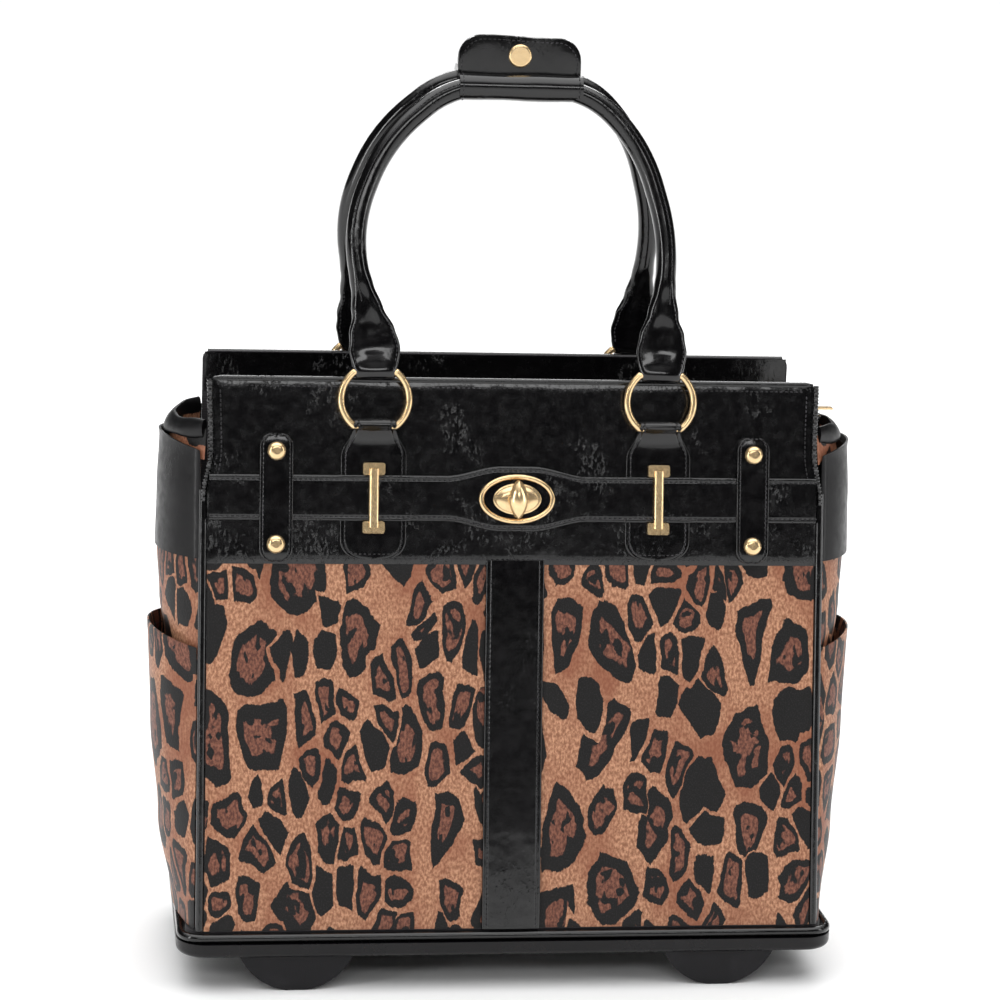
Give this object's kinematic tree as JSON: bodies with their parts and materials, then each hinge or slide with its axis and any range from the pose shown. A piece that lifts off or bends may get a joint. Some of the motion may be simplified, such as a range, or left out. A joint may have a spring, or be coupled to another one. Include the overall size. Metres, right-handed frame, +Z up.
{
  "type": "rolling laptop case",
  "caption": "Satchel-shaped rolling laptop case with side pockets, a belted front with a turn lock, ringed carry handles, a telescoping trolley handle and rear wheels.",
  "frame": {"origin": "middle of the footprint, on the floor it stands on", "axes": "+X to the right across the front, +Y to the rear, +Z up; millimetre model, front face towards -Y"},
  "size_m": [0.4766, 0.19, 0.624],
  "materials": {
    "patent": "glossy patent, fine creases",
    "print": "printed coated canvas, satin",
    "gold": "polished light gold",
    "board": "stiff board, lined",
    "moulding": "fine grain",
    "lining": "woven lining",
    "tape": "woven zip tape",
    "steel": "satin",
    "tube": "satin anodised",
    "tyre": "matt",
    "hub": "satin"
  },
  "bodies": {
    "case": {"base_tray": "moulding", "floor_board": "board", "front_board": "board", "front_panels": "print", "centre_strip": "patent", "front_yoke": "patent", "rear_board": "board", "rear_yoke": "patent", "side_gussets": "print", "side_bands": "patent", "side_pockets": "print", "piping": "patent", "laptop_divider": "lining", "belt_strap": "patent", "belt_loops": "patent", "dome_rivets": "gold", "bar_staples": "gold", "turnlock_plate": "gold", "turnlock_inlay": "patent", "turnlock_boss": "gold", "ring_chapes": "patent", "zip_tail": "patent", "rear_cover": "print", "rear_zip_chain": "tape", "trolley_outer_tubes": "tube", "trolley_brackets": "moulding", "wheel_housings": "moulding", "wheel_axles": "steel", "front_feet": "moulding", "foot_screws": "steel"},
    "turnlock_knob": {"turnlock_knob": "gold"},
    "front_rings": {"front_rings": "gold"},
    "front_handle": {"front_handle": "patent", "front_handle_tabs": "patent", "front_handle_wrap": "patent", "snap_cap": "gold"},
    "rear_rings": {"rear_rings": "gold"},
    "rear_handle": {"rear_handle": "patent", "rear_handle_tabs": "patent", "rear_handle_wrap": "patent", "snap_stud": "gold"},
    "front_zip_flap": {"front_zip_flap": "patent", "front_zip_coil": "tape"},
    "rear_zip_flap": {"rear_zip_flap": "patent", "rear_zip_coil": "tape"},
    "zip_slider": {"zip_slider": "gold"},
    "zip_pull": {"zip_pull": "gold"},
    "rear_zip_slider": {"rear_zip_slider": "gold"},
    "rear_zip_pull": {"rear_zip_pull": "gold"},
    "trolley_middle": {"trolley_middle_tubes": "tube"},
    "trolley_grip": {"trolley_inner_tubes": "tube", "trolley_grip": "moulding"},
    "trolley_button": {"trolley_button": "moulding", "trolley_release_rods": "steel"},
    "wheel_left": {"wheel_hub_left": "hub", "wheel_tyre_left": "tyre", "wheel_bearings_left": "steel"},
    "wheel_right": {"wheel_hub_right": "hub", "wheel_tyre_right": "tyre", "wheel_bearings_right": "steel"}
  },
  "joints": [
    {"name": "turnlock_turn", "type": "hinge", "parent": "case", "child": "turnlock_knob", "pos_m": [0, -0.04634, 0.32392], "axis": [0, -0.986, 0.1668], "range_deg": [0, 90]},
    {"name": "front_rings_swing", "type": "hinge", "parent": "case", "child": "front_rings", "pos_m": [0, -0.04098, 0.37119], "axis": [1, 0, 0], "range_deg": [0, 50]},
    {"name": "front_handle_swing", "type": "hinge", "parent": "front_rings", "child": "front_handle", "pos_m": [0, -0.03515, 0.40567], "axis": [1, 0, 0], "range_deg": [0, 95]},
    {"name": "rear_rings_swing", "type": "hinge", "parent": "case", "child": "rear_rings", "pos_m": [0, 0.07255, 0.371], "axis": [-1, 0, 0], "range_deg": [0, 50]},
    {"name": "rear_handle_swing", "type": "hinge", "parent": "rear_rings", "child": "rear_handle", "pos_m": [0, 0.07255, 0.40597], "axis": [-1, 0, 0], "range_deg": [0, 95]},
    {"name": "front_zip_flap_fold", "type": "hinge", "parent": "case", "child": "front_zip_flap", "pos_m": [0, -0.02777, 0.3715], "axis": [1, 0, 0], "range_deg": [0, 76]},
    {"name": "rear_zip_flap_fold", "type": "hinge", "parent": "case", "child": "rear_zip_flap", "pos_m": [0, 0.0602, 0.3715], "axis": [-1, 0, 0], "range_deg": [0, 80]},
    {"name": "zip_slide", "type": "slide", "parent": "case", "child": "zip_slider", "axis": [1, 0, 0], "range_m": [-0.385, 0]},
    {"name": "zip_pull_flip", "type": "hinge", "parent": "zip_slider", "child": "zip_pull", "pos_m": [0.2015, 0.01621, 0.3763], "axis": [0, -1, 0], "range_deg": [0, 165]},
    {"name": "rear_zip_slide", "type": "slide", "parent": "case", "child": "rear_zip_slider", "axis": [1, 0, 0], "range_m": [0, 0.38]},
    {"name": "rear_zip_pull_swing", "type": "hinge", "parent": "rear_zip_slider", "child": "rear_zip_pull", "pos_m": [-0.227, 0.093, 0.322], "axis": [0, 1, 0], "range_deg": [-80, 80]},
    {"name": "trolley_middle_slide", "type": "slide", "parent": "case", "child": "trolley_middle", "axis": [0, 0, 1], "range_m": [0, 0.235]},
    {"name": "trolley_grip_slide", "type": "slide", "parent": "trolley_middle", "child": "trolley_grip", "axis": [0, 0, 1], "range_m": [0, 0.235]},
    {"name": "trolley_button_press", "type": "slide", "parent": "trolley_grip", "child": "trolley_button", "axis": [0, 0, -1], "range_m": [0, 0.003], "stiffness_N_per_m": 300},
    {"name": "wheel_left_spin", "type": "hinge", "parent": "case", "child": "wheel_left", "pos_m": [-0.142, 0.0725, 0.0225], "axis": [1, 0, 0], "continuous": true},
    {"name": "wheel_right_spin", "type": "hinge", "parent": "case", "child": "wheel_right", "pos_m": [0.142, 0.0725, 0.0225], "axis": [1, 0, 0], "continuous": true}
  ]
}
